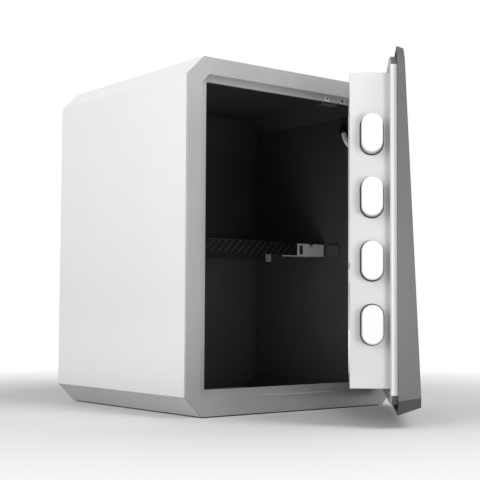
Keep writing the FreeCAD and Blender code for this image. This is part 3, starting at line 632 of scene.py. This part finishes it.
def windConduit(values):
    raw = threadLine(values["route"], values["smoothness"])
    reach = evenly(raw, 3)[1]
    turns = reach / values["pitch"]
    count = int(turns * values["perTurn"]) + 1
    places, reach = evenly(raw, count)
    heading = np.gradient(places, axis=0)
    heading /= np.linalg.norm(heading, axis=1)[:, None]
    side = np.cross(heading[0], (0, 0, 1))
    side /= np.linalg.norm(side)
    verts, faces = [], []
    around = values["around"]
    for i, (place, way) in enumerate(zip(places, heading)):
        side = side - way * np.dot(side, way)
        side /= np.linalg.norm(side)
        over = np.cross(way, side)
        for j in range(around):
            angle = 2 * math.pi * j / around
            phase = (i / values["perTurn"] + j / around) % 1
            swell = math.sin(math.pi * phase) ** values["swell"]  # a rounded strip with a tight valley
            r = values["outer"] - values["groove"] * (1 - swell)
            verts.append(place + (side * math.cos(angle) + over * math.sin(angle)) * r)
    for i in range(count - 1):
        for j in range(around):
            a, b = i * around + j, i * around + (j + 1) % around
            faces.append((a, b, b + around, a + around))
    faces.append(tuple(reversed(range(around))))
    faces.append(tuple((count - 1) * around + j for j in range(around)))
    mesh = bpy.data.meshes.new("woundConduit")
    mesh.from_pydata([tuple(v) for v in verts], [], faces)
    mesh.update()
    for face in mesh.polygons:
        face.use_smooth = len(face.vertices) == 4
    piece = addPiece("woundConduit", mesh, "steel_conduit")
    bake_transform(piece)
    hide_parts("door_conduit")


windConduit(conduit)
print("conduit wound")

# printed keys under the touch glass
keypad = {
    "rows": ["123", "456", "789", "*0#"],
    "columnGap": 0.024,
    "rowGap": 0.026,
    "height": 0.0095,
    "sizePerHeight": 1.4,
    "thick": 0.00005,
    "lift": 0.00012,
    "raise": -0.004,
}
ink = {
    "dark": (0.55, 0.60, 0.64, 1),
    "light": (0.72, 0.77, 0.80, 1),
    "glowDark": (0.45, 0.62, 0.75, 1),
    "glowLight": (0.6, 0.75, 0.85, 1),
}
inkFinish = Finish("keyPrint", {"Roughness": 0.4, "Emission Strength": 0.25})
inkTone = inkFinish.noise(900)
inkFinish.feed("Base Color", inkFinish.blendOf(inkTone, ink["dark"], ink["light"]))
inkFinish.feed("Emission Color", inkFinish.blendOf(inkTone, ink["glowDark"], ink["glowLight"]))
inkFinish.relief(inkTone, 0.2, 0.00003)


# the glass plane's own frame: its centre, its right, its up and the way it faces
def facePlane(node):
    places = np.array([v.co for v in nodes[node].data.vertices])
    faces = nodes[node].data.polygons
    outward = -doorBack
    front = [f for f in faces if f.normal.dot(outward) > 0.9]
    area = sum(f.area for f in front)
    normal = sum((f.normal * f.area for f in front), Vector()) / area
    normal.normalize()
    reach = places @ np.array(normal)
    top = float(reach.max())
    centre = Vector((places.max(0) + places.min(0)) / 2)
    centre += normal * (top - centre.dot(normal))
    up = (Vector((0, 0, 1)) - normal * normal.z).normalized()
    return centre, up.cross(normal), up, normal


def printKeys(values):
    centre, right, up, normal = facePlane("touch_glass")
    joined = bmesh.new()
    columns = (len(values["rows"][0]) - 1) / 2
    lines = (len(values["rows"]) - 1) / 2
    for i, row in enumerate(values["rows"]):
        for j, sign in enumerate(row):
            text = bpy.data.curves.new("sign", "FONT")
            text.body = sign
            text.size = values["height"] * values["sizePerHeight"]
            text.align_x = "CENTER"
            text.align_y = "CENTER"
            text.extrude = values["thick"]
            holder = bpy.data.objects.new("sign", text)
            bpy.context.scene.collection.objects.link(holder)
            read = bpy.data.meshes.new_from_object(holder)
            across = (j - columns) * values["columnGap"]
            above = (lines - i) * values["rowGap"] + values["raise"]
            spot = centre + right * across + up * above + normal * values["lift"]
            read.transform(Matrix.Translation(spot) @ Matrix((right, up, normal)).transposed().to_4x4())
            joined.from_mesh(read)
            bpy.data.objects.remove(holder)
            bpy.data.meshes.remove(read)
    mesh = bpy.data.meshes.new("keySigns")
    joined.to_mesh(mesh)
    joined.free()
    piece = bpy.data.objects.new("keySigns", mesh)
    bpy.context.scene.collection.objects.link(piece)
    mesh.materials.append(inkFinish.made)
    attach(piece, "door")


printKeys(keypad)
print("key signs printed")

# studio: pale floor that fades to white away from the safe, soft sky and lights
studioFloor = {
    "size": 12.0,
    "fadeFrom": 0.38,
    "fadeTo": 0.95,
    "tone": 0.82,
    "speckTone": 1.02,
    "paintedShadeBounceTone": 0.30,
}


def layFloor(values):
    shape = bmesh.new()
    half = values["size"] / 2
    corners = ((-half, -half), (half, -half), (half, half), (-half, half))
    shape.faces.new([shape.verts.new((x, y, 0)) for x, y in corners])
    mesh = bpy.data.meshes.new("studioFloor")
    shape.to_mesh(mesh)
    shape.free()
    floor = bpy.data.objects.new("studioFloor", mesh)
    bpy.context.scene.collection.objects.link(floor)
    finish = Finish("studioFloor", {"Roughness": 0.75, "Specular IOR Level": 0.15})
    x, y, z = finish.axes()
    away = (x * x + y * y) ** 0.5
    fade = ((away - values["fadeFrom"]) / (values["fadeTo"] - values["fadeFrom"])).kept()
    speck = finish.noise(260, 2.0)
    # only camera rays see the pale floor; all other rays see it painted dark, painted shade that darkens the faces
    # of the safe that look down at the floor
    seen = finish.node("LightPath")
    pale = finish.blendOf(speck, grey(values["tone"]), grey(values["tone"] * values["speckTone"]))
    finish.feed("Base Color", finish.blendOf(seen, grey(values["paintedShadeBounceTone"]), pale))
    glow = finish.node("Emission", {}, {"Color": grey(1.0), "Strength": 1.0})
    surface = Term(finish.tree, finish.shader.outputs[0])
    mixed = finish.node("MixShader", {}, {0: fade, 1: surface, 2: glow})
    finish.tree.links.new(mixed.socket, finish.tree.nodes["Material Output"].inputs["Surface"])
    mesh.materials.append(finish.made)


layFloor(studioFloor)

studioSky = {"level": 0.45, "seen": 1.0}


def fillSky(values):
    world = bpy.data.worlds.new("studioSky")
    bpy.context.scene.world = world
    world.use_nodes = True
    world.node_tree.nodes.clear()
    sky = Shading(world.node_tree)
    soft = sky.node("Background", {}, {"Color": grey(1.0), "Strength": values["level"]})
    white = sky.node("Background", {}, {"Color": grey(1.0), "Strength": values["seen"]})
    mixed = sky.node("MixShader", {}, {0: sky.node("LightPath"), 1: soft, 2: white})
    output = sky.tree.nodes.new("ShaderNodeOutputWorld")
    sky.tree.links.new(mixed.socket, output.inputs["Surface"])


fillSky(studioSky)

lights = {
    "key": {
        "place": (-2.6, -0.95, 0.85), "look": (0, 0, 0.25),
        "size": 1.8, "power": 32, "inGloss": True,
    },
    "front": {
        "place": (0.5, -2.1, 2.2), "look": (0, 0.1, 0.25),
        "size": 1.4, "power": 32, "inGloss": True,
    },
    "low": {
        "place": (-0.55, -1.7, 0.16), "look": (0.05, 0.1, 0.42),
        "size": 0.5, "power": 11, "inGloss": True,
    },
    "cavity": {
        "place": (-0.02, -0.145, 0.055), "look": (0.02, -0.04, 0.44),
        "size": 0.16, "power": 0.65, "inGloss": False,
    },
    "back": {
        "place": (0.8, 2.2, 2.2), "look": (0, 0, 0.2),
        "size": 1.8, "power": 4, "inGloss": True,
    },
}


def hangLight(name, values):
    lamp = bpy.data.lights.new(name, "AREA")
    lamp.shape = "DISK"
    lamp.size = values["size"]
    lamp.energy = values["power"]
    holder = bpy.data.objects.new(name, lamp)
    holder.visible_camera = False
    holder.visible_glossy = values["inGloss"]
    bpy.context.scene.collection.objects.link(holder)
    holder.location = values["place"]
    aim = Vector(values["look"]) - Vector(values["place"])
    holder.rotation_euler = aim.to_track_quat("-Z", "Y").to_euler()


for name, values in lights.items():
    hangLight(name + "Light", values)

# camera: low in front and to the left, angles in degrees, sensor and lens in millimetres
view = {
    "place": (-0.9329, -1.2705, 0.1335),
    "yaw": 39.126,
    "pitch": 3.673,
    "roll": 0.186,
    "sensor": 36,
    "lens": 81.7125,
    "shift": -0.0833333,
    "nearest": 0.05,
}
camera = bpy.data.cameras.new("camera")
camera.sensor_width = view["sensor"]
camera.lens = view["lens"]
camera.shift_x = view["shift"]
camera.dof.use_dof = False
camera.clip_start = view["nearest"]
holder = bpy.data.objects.new("camera", camera)
bpy.context.scene.collection.objects.link(holder)
holder.location = view["place"]
yaw, pitch, roll = (math.radians(view[k]) for k in ("yaw", "pitch", "roll"))
turned = Matrix.Rotation(-yaw, 3, "Z") @ Matrix.Rotation(math.pi / 2 + pitch, 3, "X")
turned = turned @ Matrix.Rotation(roll, 3, "Z")
holder.rotation_euler = turned.to_euler()
bpy.context.scene.camera = holder
bpy.context.scene.view_settings.view_transform = "Standard"
print("studio and camera ready")
